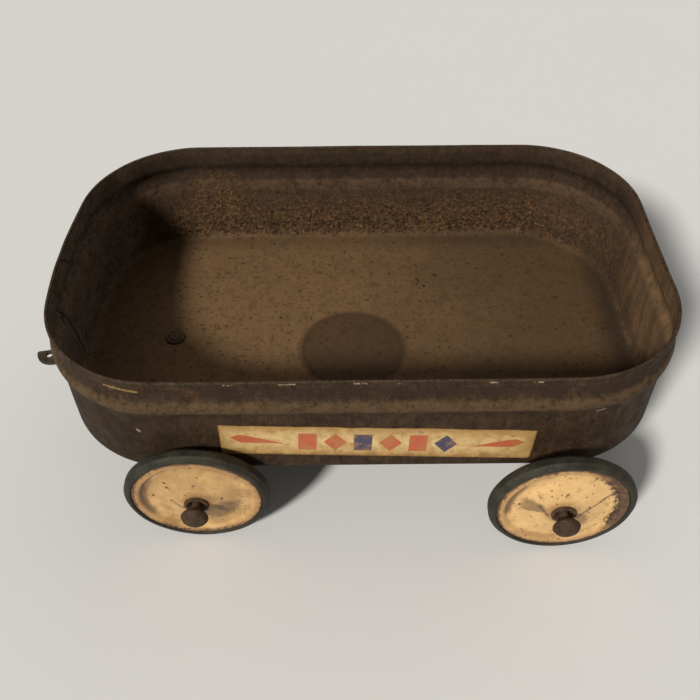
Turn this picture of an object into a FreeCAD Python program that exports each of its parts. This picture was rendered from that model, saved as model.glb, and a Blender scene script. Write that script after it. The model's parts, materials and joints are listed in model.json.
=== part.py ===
import FreeCAD, Part
import Sketcher
import math
import os

# A small pressed-steel toy wagon: a deep round-cornered pan on four disc wheels, with a flat
# tongue riveted under its front end. Millimetres. +Z is up, +X runs from the front (the tongue's
# end) to the rear, and +Y runs from the left side to the right side. The origin is on the ground,
# at the centre of the wagon's outer box. Everything below is driven by these sizes.
SIZES = {
    # pan
    "pan_length": 347.0,          # between the two ends, without the bow of the front one
    "pan_width": 214.6,
    "pan_depth": 75.5,
    "pan_corner_radius": 66.6,
    "pan_bottom_radius": 6.0,     # outside of the bend between wall and floor
    "pan_sheet": 1.0,
    "front_bow": 9.5,             # how far the front end's two runs lean out to their meeting
    "front_straight": 2.4,        # left of each run between the corner's bend and the bow's
    "hem_height": 5.0,            # the folded-over top edge
    "hem_fold": 1.0,              # how far the fold stands out from the wall
    "hem_round": 0.9,             # on both top edges of the fold
    "hem_low_round": 0.4,
    "bead_drop": 13.0,            # from the rim to the top of the swaged bead
    "bead_height": 14.0,
    "bead_bulge": 2.7,
    "bead_slope": 4.0,            # height of each sloping side of the bead
    "bead_bend": 3.0,             # outside of each of the bead's four bends
    # labels
    "label_end_margin": 20.4,     # from the label's end to the start of the pan's corner bend
    "label_edge_margin": 8.5,     # from the label to the bead above and to the bend below
    "label_sag": 2.25,            # how far the label sits below the middle of that flat
    "label_offset": 5.6,          # towards the rear from the pan's centre
    "label_thickness": 0.3,
    "label_tilt": 2.4,            # degrees, the left label's rear end hangs lower
    # axle brackets
    "ear_inset": 6.9,             # from the pan's side wall in to the ear's outside face
    "bracket_width": 30.0,
    "bracket_sheet": 1.5,
    "bracket_flange": 5.0,
    "ear_width": 20.0,
    "ear_corner": 7.0,
    "ear_below_axle": 8.0,
    "axle_below_floor": 11.0,
    "front_axle_setback": 76.6,   # from the pan's front corners
    "rear_axle_setback": 64.0,    # from the pan's rear end
    # axles
    "rod_radius": 2.6,
    "wheel_from_wall": 12.7,      # from the pan's side wall out to the wheel's middle plane
    "wheel_inset": 17.8,          # from the rod's end to the wheel's middle plane
    "axle_shift": 4.25,           # front axle sits this far to the right, rear axle to the left
    "running_clearance": 0.1,
    "end_clearance": 0.2,
    "washer_ring": 3.8,           # from the washer's bore to its edge
    "washer_thickness": 1.2,
    "deburr": 0.2,
    "cap_wall": 5.3,              # from the rod to the cap's outside
    "cap_height": 5.0,
    "cap_bore_depth": 3.4,
    "cap_brim_height": 1.5,
    "cap_brim_round": 1.0,
    "cap_foot_inset": 0.6,
    "cap_crown_inset": 2.7,
    "cap_crown_drop": 0.6,
    "cap_crown_round": 4.0,
    # wheels
    "tyre_radius": 41.5,
    "tyre_section": 4.4,          # from the tread down to the discs' flange
    "tyre_width": 9.0,
    "tyre_shoulder": 3.4,
    "disc_sheet": 0.9,
    "disc_half_width": 4.0,       # from the wheel's middle plane to the face of the outer ring
    "disc_ring_width": 4.1,
    "disc_step_width": 2.2,       # the slope from the outer ring down to the valley
    "disc_valley_width": 5.8,
    "disc_valley_depth": 1.8,     # below the outer ring
    "disc_hub_rise": 2.6,         # above the outer ring
    "disc_hub_margin": 1.3,       # flat left round the hub's collar
    "disc_edge_bend": 1.2,
    "disc_valley_bend": 12.0,
    "disc_hub_bend": 6.0,
    "hub_play": 0.9,              # worn wide, so that the wheel leans on its rod
    "hub_wall": 1.2,
    "hub_shoulder_step": 1.3,
    "hub_shoulder_length": 5.4,
    "hub_collar_lip": 2.4,
    "hub_collar_thickness": 1.8,
    "hub_collar_round": 0.8,
    "hub_edge_round": 0.4,
    "hub_mouth_flare": 1.8,
    "hub_mouth_depth": 2.6,
    "hub_gap": 0.6,               # between the hub's inner end and the washer
    "front_wheel_lean": 2.6,      # degrees, the wheel's top leans outwards
    "rear_wheel_lean": 0.2,
    # tongue
    "rivet_offset": 1.5,          # towards the left side
    "tongue_reach": 89.0,         # from the rivet to the tip
    "tongue_tail": 8.0,           # from the rivet to the tail's end
    "tail_clearance": 3.8,        # from the tail's end to the front bracket
    "tail_corner": 5.0,
    "tongue_width": 12.5,
    "tongue_sheet": 2.0,
    "tongue_tip_flat": 1.0,       # left of the tip's edge between its two corners
    "tongue_far_corner": 1.5,
    "tongue_angle": 10.5,         # degrees, swivelled towards the left side
    "eye_radius": 2.0,
    "eye_from_tip": 7.8,
    "eye_offset": 1.8,            # from the strip's middle line, away from the rounded corner
    "rivet_shank_radius": 3.0,
    "rivet_head_lip": 3.4,
    "rivet_head_height": 2.0,
    "rivet_head_edge": 0.5,
    "rivet_crown_inset": 2.6,
    "rivet_crown_round": 3.0,
    "rivet_tail_lip": 2.0,
    "rivet_tail_height": 1.6,
    "rivet_tail_round": 0.8,
    "tongue_washer_ring": 4.0,
    "tongue_washer_thickness": 1.0,
}


class Size:
    """A number together with the sheet formula that gives it."""

    def __init__(self, value, formula):
        self.value = value
        self.formula = formula

    def _join(self, sign, other, value):
        return Size(value, f"({self.formula} {sign} {as_size(other).formula})")

    def __add__(self, other):
        return self._join("+", other, self.value + as_size(other).value)

    def __sub__(self, other):
        return self._join("-", other, self.value - as_size(other).value)

    def __mul__(self, other):
        return self._join("*", other, self.value * as_size(other).value)

    def __truediv__(self, other):
        return self._join("/", other, self.value / as_size(other).value)

    def __neg__(self):
        return Size(-self.value, f"(0 - {self.formula})")

    def __radd__(self, other):
        return as_size(other) + self

    def __rsub__(self, other):
        return as_size(other) - self

    def __rmul__(self, other):
        return as_size(other) * self


def as_size(number):
    """Let a plain number take part in a formula."""
    return number if isinstance(number, Size) else Size(float(number), repr(float(number)))


def cosine(angle):
    return Size(math.cos(math.radians(angle.value)), f"cos({angle.formula})")


def sine(angle):
    return Size(math.sin(math.radians(angle.value)), f"sin({angle.formula})")


def root(square):
    return Size(math.sqrt(square.value), f"sqrt({square.formula})")


doc = FreeCAD.newDocument("toy_wagon")
sheet = doc.addObject("Spreadsheet::Sheet", "Sizes")
for row, (alias, number) in enumerate(SIZES.items(), start=1):
    sheet.set(f"A{row}", alias)
    sheet.set(f"B{row}", str(number))
    sheet.setAlias(f"B{row}", alias)
doc.recompute()


def size(alias):
    """The driving dimension with this name."""
    return Size(float(sheet.get(alias)), f"Sizes.{alias}")


# ---------------------------------------------------------------- derived places and sizes

half_length = size("pan_length") / 2
half_width = size("pan_width") / 2
wall_bend = size("pan_corner_radius")
floor_z = size("tyre_radius") + size("axle_below_floor")
rim_z = floor_z + size("pan_depth")

# Each half of the front end is a straight run from the corner to the middle. The two shares give
# how much of that run a bend takes for each millimetre of its radius, at the corner and at the bow.
front_run = root(half_width * half_width + size("front_bow") * size("front_bow"))
corner_share = half_width / (front_run + size("front_bow"))
bow_share = size("front_bow") / half_width
bow_radius = (front_run - wall_bend * corner_share - size("front_straight")) / bow_share

rivet_setback = (
    size("front_axle_setback")
    - size("bracket_width") / 2
    - size("tail_clearance")
    - size("tongue_tail")
)
tilt = size("tongue_angle")
half_tongue = size("tongue_width") / 2
far_corner = size("tongue_far_corner")
near_corner = size("tongue_width") - far_corner - size("tongue_tip_flat")
tip_reach = (
    (size("tongue_reach") - far_corner) * cosine(tilt)
    + (half_tongue - far_corner) * sine(tilt)
    + far_corner
)
front_reach = half_length - rivet_setback + tip_reach
rear_reach = half_length + size("bead_bulge")
pan_x = (front_reach - rear_reach) / 2

axle_z = size("tyre_radius")
wheel_y = half_width + size("wheel_from_wall")
rod_end = wheel_y + size("wheel_inset")
rod_bore = size("rod_radius") + size("running_clearance")
ear_face = half_width - size("ear_inset")
disc_radius = size("tyre_radius") - size("tyre_section")
hub_face = size("disc_half_width") + size("disc_hub_rise")
hub_inner_reach = hub_face + size("hub_shoulder_length")
hub_bore = size("rod_radius") + size("hub_play")
hub_spigot = hub_bore + size("hub_wall")
hub_collar = hub_spigot + size("hub_collar_lip")

AXLE_X = {
    "front": pan_x - half_length + size("front_axle_setback"),
    "rear": pan_x + half_length - size("rear_axle_setback"),
}
AXLE_Y = {"front": size("axle_shift"), "rear": -size("axle_shift")}
LEAN = {"front": size("front_wheel_lean"), "rear": size("rear_wheel_lean")}
OUTWARD = {"left": -1, "right": 1}


# ---------------------------------------------------------------- drawing helpers

def bind(target, prop, amount):
    """Tie one property to its formula in the sheet."""
    target.setExpression(prop, as_size(amount).formula)


def place(target, x=0, y=0, z=0, axis=(0, 0, 1), angle=0):
    """Turn an object about an axis through its own origin, then put that origin at x, y, z."""
    spot = FreeCAD.Vector(as_size(x).value, as_size(y).value, as_size(z).value)
    turn = FreeCAD.Rotation(FreeCAD.Vector(*axis), as_size(angle).value)
    target.Placement = FreeCAD.Placement(spot, turn)
    for letter, amount in zip("xyz", (x, y, z)):
        bind(target, f"Placement.Base.{letter}", amount)
    if isinstance(angle, Size):
        bind(target, "Placement.Rotation.Angle", angle)


def new_body(name):
    body = doc.addObject("PartDesign::Body", name)
    body.Label = name
    return body


def new_sketch(body, name, role):
    """An empty sketch on one of the body's own origin planes."""
    sketch = body.newObject("Sketcher::SketchObject", name)
    plane = next(item for item in body.Origin.OriginFeatures if item.Role == role)
    sketch.AttachmentSupport = (plane, [""])
    sketch.MapMode = "FlatFace"
    return sketch


def constrain(sketch, kind, *references, amount=None):
    """Add one constraint, tied to its formula when it has a size."""
    if amount is None:
        return sketch.addConstraint(Sketcher.Constraint(kind, *references))
    number = as_size(amount)
    index = sketch.addConstraint(Sketcher.Constraint(kind, *references, number.value))
    sketch.setExpression(f"Constraints[{index}]", number.formula)
    return index


def pin_point(sketch, geometry, vertex, x, y):
    """Hold one vertex at x, y from the sketch's origin."""
    constrain(sketch, "DistanceX", -1, 1, geometry, vertex, amount=x)
    constrain(sketch, "DistanceY", -1, 1, geometry, vertex, amount=y)


def draw_outline(sketch, corners):
    """A closed outline through corners (x, y) or (x, y, radius), every size tied to the sheet.

    Each corner is a pinned construction point. The straight runs pass through these points, and
    an arc tangent to both runs rounds a corner that has a radius.
    """
    spots = [FreeCAD.Vector(as_size(c[0]).value, as_size(c[1]).value, 0) for c in corners]
    radii = [as_size(c[2]) if len(c) > 2 else None for c in corners]
    count = len(corners)
    arrive, leave = [], []
    for i, spot in enumerate(spots):
        back = (spots[i - 1] - spot).normalize()
        ahead = (spots[(i + 1) % count] - spot).normalize()
        half = back.getAngle(ahead) / 2
        cut = radii[i].value / math.tan(half) if radii[i] else 0.0
        arrive.append(spot + back * cut)
        leave.append(spot + ahead * cut)
    points = [sketch.addGeometry(Part.Point(spot), True) for spot in spots]
    for point, corner in zip(points, corners):
        pin_point(sketch, point, 1, corner[0], corner[1])
    lines = []
    for i in range(count):
        end = (i + 1) % count
        lines.append(sketch.addGeometry(Part.LineSegment(leave[i], arrive[end]), False))
    for i in range(count):
        before, after = lines[i - 1], lines[i]
        if radii[i] is None:
            constrain(sketch, "Coincident", before, 2, points[i], 1)
            constrain(sketch, "Coincident", after, 1, points[i], 1)
            continue
        constrain(sketch, "PointOnObject", points[i], 1, before)
        constrain(sketch, "PointOnObject", points[i], 1, after)
        arc = sketch.addGeometry(corner_arc(spots[i], arrive[i], leave[i], radii[i].value), False)
        first = 1 if starts_at(sketch, arc, arrive[i]) else 2
        constrain(sketch, "Tangent", before, 2, arc, first)
        constrain(sketch, "Tangent", after, 1, arc, 3 - first)
        constrain(sketch, "Radius", arc, amount=radii[i])


def corner_arc(corner, arrive, leave, radius):
    """The arc that rounds a corner between two tangent points."""
    middle = (arrive + leave) / 2 - corner
    to_centre = math.hypot(radius, (arrive - corner).Length)
    nearest = corner + middle.normalize() * (to_centre - radius)
    return Part.Arc(arrive, nearest, leave)


def starts_at(sketch, geometry, spot):
    return sketch.getPoint(geometry, 1).distanceToPoint(spot) < 1e-6


def draw_circle(sketch, x, y, radius):
    centre = FreeCAD.Vector(as_size(x).value, as_size(y).value, 0)
    up = FreeCAD.Vector(0, 0, 1)
    circle = sketch.addGeometry(Part.Circle(centre, up, as_size(radius).value), False)
    pin_point(sketch, circle, 3, x, y)
    constrain(sketch, "Radius", circle, amount=radius)


def turned(name, corners):
    """A body turned about its own Z axis from a section given as (radius, height) corners."""
    body = new_body(name)
    sketch = new_sketch(body, name + "_section", "XZ_Plane")
    draw_outline(sketch, corners)
    spin = body.newObject("PartDesign::Revolution", name + "_turned")
    spin.Profile = sketch
    spin.ReferenceAxis = (sketch, ["V_Axis"])
    spin.Angle = 360
    return body


def extruded(body, name, role, corners, length, both_ways=False, reverse=False, holes=()):
    """A pad of one outline, with round holes through it."""
    sketch = new_sketch(body, name + "_outline", role)
    draw_outline(sketch, corners)
    for x, y, radius in holes:
        draw_circle(sketch, x, y, radius)
    pad = body.newObject("PartDesign::Pad", name + "_pad")
    pad.Profile = sketch
    bind(pad, "Length", length)
    pad.Midplane = both_ways
    pad.Reversed = reverse
    return pad


def put_on_rod(target, end, side, from_middle):
    """Put a turned piece square on a rod, its +Z towards the wagon's outside on that side."""
    y = AXLE_Y[end] + OUTWARD[side] * from_middle
    place(target, AXLE_X[end], y, axle_z, axis=(1, 0, 0), angle=-90 * OUTWARD[side])


def put_in_wheel(target, end, side, facing=1):
    """Put a piece at its wheel's centre, its +Z along the wheel's leaning axis.

    Facing 1 turns +Z to the wagon's outside and -1 to its inside.
    """
    y = AXLE_Y[end] + OUTWARD[side] * wheel_y
    turn = -OUTWARD[side] * (90 * facing + LEAN[end])
    place(target, AXLE_X[end], y, axle_z, axis=(1, 0, 0), angle=turn)


# ---------------------------------------------------------------- pan

def pan_outline(inset):
    """The pan's plan, moved inwards by an even amount. It starts in the middle of the rear."""
    rear = half_length - inset
    side = half_width - inset
    corner = wall_bend - inset
    front = inset * corner_share - half_length
    bow = inset * front_run / half_width - half_length - size("front_bow")
    return [
        (rear, 0),
        (rear, side, corner),
        (front, side, corner),
        (bow, 0, bow_radius - inset),
        (front, -side, corner),
        (rear, -side, corner),
    ]


def build_pan():
    """Wall, bead and hem swept round the plan, a floor, and the hole for the tongue's rivet."""
    body = new_body("pan")
    path = new_sketch(body, "pan_plan", "XY_Plane")
    draw_outline(path, pan_outline(0))

    sheet_t = size("pan_sheet")
    wall = half_length
    rim = size("pan_depth")
    hem_low = rim - size("hem_height")
    hem_out = wall + size("hem_fold")
    inside = wall - sheet_t
    bead_top = rim - size("bead_drop")
    bead_low = bead_top - size("bead_height")
    slope = size("bead_slope")
    bulge = wall + size("bead_bulge")
    hollow = bulge - sheet_t
    bend = size("pan_bottom_radius")
    floor_edge = wall - bend * 2
    outer_bend = size("bead_bend")
    inner_bend = outer_bend - sheet_t
    section = [
        (inside, rim, size("hem_round")),
        (hem_out, rim, size("hem_round")),
        (hem_out, hem_low, size("hem_low_round")),
        (wall, hem_low),
        (wall, bead_top, inner_bend),
        (bulge, bead_top - slope, outer_bend),
        (bulge, bead_low + slope, outer_bend),
        (wall, bead_low, inner_bend),
        (wall, 0, bend),
        (floor_edge, 0),
        (floor_edge, sheet_t),
        (inside, sheet_t, bend - sheet_t),
        (inside, bead_low, outer_bend),
        (hollow, bead_low + slope, inner_bend),
        (hollow, bead_top - slope, inner_bend),
        (inside, bead_top, outer_bend),
    ]
    profile = new_sketch(body, "pan_section", "XZ_Plane")
    draw_outline(profile, section)
    sweep = body.newObject("PartDesign::AdditivePipe", "pan_wall")
    sweep.Profile = profile
    sweep.Spine = (path, [""])

    extruded(body, "pan_floor", "XY_Plane", pan_outline(bend + sheet_t), sheet_t)
    hole = new_sketch(body, "pan_rivet_hole_outline", "XY_Plane")
    rivet_spot = rivet_setback - half_length
    draw_circle(hole, rivet_spot, -size("rivet_offset"), size("rivet_shank_radius"))
    pocket = body.newObject("PartDesign::Pocket", "pan_rivet_hole")
    pocket.Profile = hole
    pocket.Type = "ThroughAll"
    pocket.Midplane = True
    place(body, pan_x, 0, floor_z)
    return body


# ---------------------------------------------------------------- labels

def build_label(side):
    """A paper label on the flat of one side wall, a little crooked on the left."""
    name = f"label_{side}"
    label = doc.addObject("Part::Box", name)
    label.Label = name
    thick = size("label_thickness")
    long = (half_length - wall_bend - size("label_end_margin")) * 2
    above, below = size("bead_drop") + size("bead_height"), size("pan_bottom_radius")
    tall = size("pan_depth") - above - below - size("label_edge_margin") * 2
    bind(label, "Length", long)
    bind(label, "Width", thick)
    bind(label, "Height", tall)
    tilted = size("label_tilt") if side == "left" else size("label_tilt") * 0
    across = cosine(tilted) * long / 2 + sine(tilted) * tall / 2
    down = cosine(tilted) * tall / 2 - sine(tilted) * long / 2
    face = -(half_width + thick) if side == "left" else half_width
    middle = floor_z + (size("pan_depth") - above + below) / 2 - size("label_sag")
    x = pan_x + size("label_offset") - across
    place(label, x, face, middle - down, axis=(0, 1, 0), angle=tilted)
    return label


# ---------------------------------------------------------------- axle brackets

def build_bracket(end):
    """A folded channel under the floor with an ear at each end that carries the axle."""
    body = new_body(f"{end}_axle_bracket")
    half = size("bracket_width") / 2
    thick = size("bracket_sheet")
    skirt = size("bracket_flange")
    section = [
        (-half, 0, thick),
        (half, 0, thick),
        (half, -skirt),
        (half - thick, -skirt),
        (half - thick, -thick),
        (thick - half, -thick),
        (thick - half, -skirt),
        (-half, -skirt),
    ]
    extruded(body, f"{end}_channel", "XZ_Plane", section, ear_face * 2, both_ways=True)
    drop = floor_z - axle_z
    half_ear = size("ear_width") / 2
    low = -(drop + size("ear_below_axle"))
    ear = [
        (-half_ear, -thick / 2),
        (half_ear, -thick / 2),
        (half_ear, low, size("ear_corner")),
        (-half_ear, low, size("ear_corner")),
    ]
    for side, away in OUTWARD.items():
        pad = extruded(
            body, f"{end}_{side}_ear", "XZ_Plane", ear, thick, holes=[(0, -drop, rod_bore)],
            reverse=away > 0,
        )
        bind(pad.Profile[0], "AttachmentOffset.Base.z", -away * (ear_face - thick))
    place(body, AXLE_X[end], 0, floor_z)
    return body


# ---------------------------------------------------------------- axles

def build_rod(end):
    name = f"{end}_axle_rod"
    rod = doc.addObject("Part::Cylinder", name)
    rod.Label = name
    bind(rod, "Radius", size("rod_radius"))
    bind(rod, "Height", rod_end * 2)
    place(rod, AXLE_X[end], AXLE_Y[end] + rod_end, axle_z, axis=(1, 0, 0), angle=90)
    return rod


def washer_section(bore, ring, thick):
    """Half of a flat washer's section, its outer edges broken."""
    edge, deburr = bore + ring, size("deburr")
    return [(bore, 0), (edge, 0, deburr), (edge, thick, deburr), (bore, thick)]


def build_washer(end, side):
    """A loose plain washer between the bracket's ear and the wheel's hub."""
    thick = size("washer_thickness")
    section = washer_section(rod_bore, size("washer_ring"), thick)
    body = turned(f"{end}_axle_washer_{side}", section)
    put_on_rod(body, end, side, wheel_y - hub_inner_reach - size("hub_gap") - thick)
    return body


def build_cap(end, side):
    """A domed cap pushed onto the rod's end."""
    bore = size("rod_radius")
    outer = bore + size("cap_wall")
    top, blind = size("cap_height"), size("cap_bore_depth")
    crown = outer - size("cap_crown_inset")
    section = [
        (0, blind),
        (bore, blind),
        (bore, 0),
        (outer - size("cap_foot_inset"), 0, size("deburr")),
        (outer, size("cap_brim_height"), size("cap_brim_round")),
        (crown, top - size("cap_crown_drop"), size("cap_crown_round")),
        (0, top),
    ]
    body = turned(f"{end}_axle_cap_{side}", section)
    put_on_rod(body, end, side, rod_end - blind)
    return body


# ---------------------------------------------------------------- wheels

def disc_section():
    """One pressed disc: flat outer ring, shallow valley, cone up to the hub, turned-in flange."""
    gauge = size("disc_sheet")
    edge, ring = disc_radius, size("disc_half_width")
    valley = ring - size("disc_valley_depth")
    ring_in = edge - size("disc_ring_width")
    low_out = ring_in - size("disc_step_width")
    low_in = low_out - size("disc_valley_width")
    flat = hub_collar + size("disc_hub_margin")
    tight, wide, crown = size("disc_edge_bend"), size("disc_valley_bend"), size("disc_hub_bend")
    return [
        (hub_spigot, hub_face),
        (flat, hub_face, crown),
        (low_in, valley, wide),
        (low_out, valley, tight),
        (ring_in, ring, tight),
        (edge, ring, tight),
        (edge, 0),
        (edge - gauge, 0),
        (edge - gauge, ring - gauge, tight - gauge),
        (ring_in, ring - gauge, tight),
        (low_out, valley - gauge, tight),
        (low_in, valley - gauge, wide),
        (flat, hub_face - gauge, crown),
        (hub_spigot, hub_face - gauge),
    ]


def build_disc(end, side, position):
    """The outer and the inner disc are the same pressing, put back to back."""
    body = turned(f"wheel_{end}_{side}_{position}_disc", disc_section())
    put_in_wheel(body, end, side, facing=1 if position == "outer" else -1)
    return body


def build_hub(end, side):
    """A turned hub: shoulder behind the discs, spigot through them, collar spread over them."""
    shoulder = hub_spigot + size("hub_shoulder_step")
    mouth = hub_bore + size("hub_mouth_flare")
    top = hub_face + size("hub_collar_thickness")
    edge = size("hub_edge_round")
    section = [
        (hub_bore, -hub_inner_reach),
        (shoulder, -hub_inner_reach, edge),
        (shoulder, -hub_face),
        (hub_spigot, -hub_face),
        (hub_spigot, hub_face),
        (hub_collar, hub_face, edge),
        (hub_collar, top, size("hub_collar_round")),
        (mouth, top, edge),
        (hub_bore, top - size("hub_mouth_depth")),
    ]
    body = turned(f"wheel_{end}_{side}_hub", section)
    put_in_wheel(body, end, side)
    return body


def build_tyre(end, side):
    """A solid rubber ring stretched over the discs' flanges."""
    bed, tread = disc_radius, size("tyre_radius")
    half = size("tyre_width") / 2
    shoulder = size("tyre_shoulder")
    section = [
        (bed, -half),
        (tread, -half, shoulder),
        (tread, half, shoulder),
        (bed, half),
    ]
    body = turned(f"wheel_{end}_{side}_tyre", section)
    put_in_wheel(body, end, side)
    return body


# ---------------------------------------------------------------- tongue

rivet_x = pan_x - half_length + rivet_setback
rivet_y = -size("rivet_offset")
tongue_top = floor_z - size("end_clearance")
tongue_low = tongue_top - size("tongue_sheet")
washer_top = tongue_low - size("end_clearance")
washer_low = washer_top - size("tongue_washer_thickness")


def build_tongue():
    """A flat strip that swivels on its rivet, with an eye at the tip for a pull cord."""
    body = new_body("tongue")
    tip, tail = -size("tongue_reach"), size("tongue_tail")
    strip = [
        (tip, -half_tongue, near_corner),
        (tail, -half_tongue, size("tail_corner")),
        (tail, half_tongue, size("tail_corner")),
        (tip, half_tongue, far_corner),
    ]
    pivot = size("rivet_shank_radius") + size("running_clearance")
    eye_x, eye_y = tip + size("eye_from_tip"), size("eye_offset")
    holes = [(0, 0, pivot), (eye_x, eye_y, size("eye_radius"))]
    extruded(body, "tongue_strip", "XY_Plane", strip, size("tongue_sheet"), holes=holes)
    place(body, rivet_x, rivet_y, tongue_low, angle=size("tongue_angle"))
    return body


def build_tongue_washer():
    thick = size("tongue_washer_thickness")
    section = washer_section(size("rivet_shank_radius"), size("tongue_washer_ring"), thick)
    body = turned("tongue_washer", section)
    place(body, rivet_x, rivet_y, washer_low)
    return body


def build_rivet():
    """Low round head on the pan's floor, shank through floor, tongue and washer, spread tail."""
    shank = size("rivet_shank_radius")
    head = shank + size("rivet_head_lip")
    tail = shank + size("rivet_tail_lip")
    head_low = floor_z + size("pan_sheet") - washer_low
    head_top = head_low + size("rivet_head_height")
    tail_low = -size("rivet_tail_height")
    section = [
        (0, tail_low),
        (tail, tail_low, size("rivet_tail_round")),
        (tail, 0),
        (shank, 0),
        (shank, head_low),
        (head, head_low),
        (head, head_low + size("rivet_head_edge"), size("deburr")),
        (head - size("rivet_crown_inset"), head_top, size("rivet_crown_round")),
        (0, head_top),
    ]
    body = turned("tongue_rivet", section)
    place(body, rivet_x, rivet_y, washer_low)
    return body


# ---------------------------------------------------------------- build, check and write

pieces = [build_pan(), build_label("left"), build_label("right")]
pieces += [build_tongue(), build_tongue_washer(), build_rivet()]
for end in AXLE_X:
    pieces += [build_bracket(end), build_rod(end)]
    for side in OUTWARD:
        pieces += [build_washer(end, side), build_cap(end, side)]
        pieces += [build_disc(end, side, "outer"), build_disc(end, side, "inner")]
        pieces += [build_hub(end, side), build_tyre(end, side)]
doc.recompute()

for item in doc.Objects:
    if "Invalid" in item.State or "Error" in item.State:
        raise RuntimeError(f"{item.Name} failed: {item.State}")
os.makedirs("parts", exist_ok=True)
for piece in pieces:
    if piece.Shape.isNull() or not piece.Shape.isValid():
        raise RuntimeError(f"{piece.Label} has no valid shape")
    piece.Shape.exportStep(f"parts/{piece.Label}.step")
print(len(pieces), "nodes written")
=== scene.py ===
import json
import math

import bmesh
import bpy
from mathutils import Matrix, Vector, noise


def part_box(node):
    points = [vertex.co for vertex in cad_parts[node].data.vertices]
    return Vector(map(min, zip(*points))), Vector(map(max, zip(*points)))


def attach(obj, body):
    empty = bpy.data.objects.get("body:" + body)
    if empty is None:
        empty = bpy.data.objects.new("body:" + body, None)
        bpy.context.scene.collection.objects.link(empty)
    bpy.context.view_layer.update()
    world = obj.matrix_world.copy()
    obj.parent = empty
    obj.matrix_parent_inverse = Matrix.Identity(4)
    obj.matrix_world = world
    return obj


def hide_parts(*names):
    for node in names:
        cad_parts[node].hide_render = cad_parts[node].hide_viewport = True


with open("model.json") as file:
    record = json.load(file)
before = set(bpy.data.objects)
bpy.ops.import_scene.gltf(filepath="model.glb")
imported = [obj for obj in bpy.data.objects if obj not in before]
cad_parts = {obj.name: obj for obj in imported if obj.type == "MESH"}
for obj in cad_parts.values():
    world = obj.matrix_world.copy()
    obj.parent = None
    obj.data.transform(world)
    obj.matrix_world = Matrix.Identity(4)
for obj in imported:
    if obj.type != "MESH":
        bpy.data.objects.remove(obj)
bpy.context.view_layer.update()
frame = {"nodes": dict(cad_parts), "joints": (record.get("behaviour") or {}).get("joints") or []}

# An old pressed-steel toy wagon: a rusted pan with a swaged bead and a folded hem, a paper label on
# each side, four cream disc wheels with rubber tyres on loose axles, and a flat steel tongue.
# Metres, in the frame's own axes: -X is the front, -Y the left side, +Z is up.

MM = 0.001

# ---------------------------------------------------------------- places, from the frame

BEAD_BULGE = 2.7 * MM
PAN_SHEET = 1.0 * MM
PAN_BEND = 6.0 * MM             # between wall and floor, outside
PAN_CORNER = 66.6 * MM
PAN_DEPTH = 75.5 * MM
FRONT_BOW = 9.5 * MM            # how far the middle of the front end stands out
FRONT_BOW_RADIUS = 500 * MM
HEM_HEIGHT = 5.0 * MM
HEM_FOLD = 1.0 * MM
BEAD_DROP = 13.0 * MM
BEAD_HEIGHT = 14.0 * MM
BEAD_SLOPE = 5.0 * MM

pan_low, pan_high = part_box("pan")
HALF_WIDTH = pan_high.y - BEAD_BULGE
REAR_X = pan_high.x - BEAD_BULGE
FRONT_X = pan_low.x + BEAD_BULGE + FRONT_BOW
PAN_X = (REAR_X + FRONT_X) / 2
RIM_Z = pan_high.z
FLOOR_LOW = pan_low.z
FLOOR_TOP = FLOOR_LOW + PAN_SHEET

JOINTS = {joint["name"]: joint for joint in frame["joints"]}
ENDS = ("front", "rear")
SIDES = {"left": -1, "right": 1}


# ---------------------------------------------------------------- node trees

class Link:
    """One output of a node. Sums on it, with OPERATORS, add the Math nodes that they need."""

    def __init__(self, tree, socket):
        self.tree = tree
        self.socket = socket

    def out(self, name):
        """Another output of the same node."""
        return Link(self.tree, self.socket.node.outputs[name])

    def __abs__(self):
        return self.tree.sum("ABSOLUTE", self)


OPERATORS = {"add": "ADD", "sub": "SUBTRACT", "mul": "MULTIPLY", "truediv": "DIVIDE",
             "mod": "FLOORED_MODULO"}
for python_name, operation in OPERATORS.items():
    setattr(Link, f"__{python_name}__", lambda a, b, op=operation: a.tree.sum(op, a, b))
    setattr(Link, f"__r{python_name}__", lambda a, b, op=operation: a.tree.sum(op, b, a))


def ramp(value, start, end):
    """0 before start, 1 after end, smooth in between; start may be the larger one."""
    settings = {"interpolation_type": "SMOOTHSTEP"}
    inputs = {"Value": value, "From Min": start, "From Max": end}
    return value.tree.add("ShaderNodeMapRange", settings, inputs)


def most(*masks):
    """The largest of several masks."""
    top = masks[0]
    for mask in masks[1:]:
        top = mask.tree.sum("MAXIMUM", top, mask)
    return top


class Tree:
    """A node tree that is filled by one method, add()."""

    def __init__(self, tree):
        self.tree = tree

    def add(self, kind, settings=None, inputs=None, output=0):
        """A new node of this kind: its settings first, then the values or links of its inputs."""
        node = self.tree.nodes.new(kind)
        for name, value in (settings or {}).items():
            setattr(node, name, value)
        for name, value in (inputs or {}).items():
            if isinstance(value, Link):
                self.tree.links.new(value.socket, node.inputs[name])
            else:
                node.inputs[name].default_value = value
        return Link(self, node.outputs[output]) if node.outputs else node

    def sum(self, operation, *terms):
        return self.add("ShaderNodeMath", {"operation": operation}, dict(enumerate(terms)))

    def noise(self, where, size, detail=3.0, roughness=0.55, seed=0.0):
        """Cloudy noise about 0.5, its patches about this many metres across."""
        inputs = {"Vector": where, "W": seed, "Scale": 1 / size, "Detail": detail}
        inputs["Roughness"] = roughness
        return self.add("ShaderNodeTexNoise", {"noise_dimensions": "4D"}, inputs)


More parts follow.
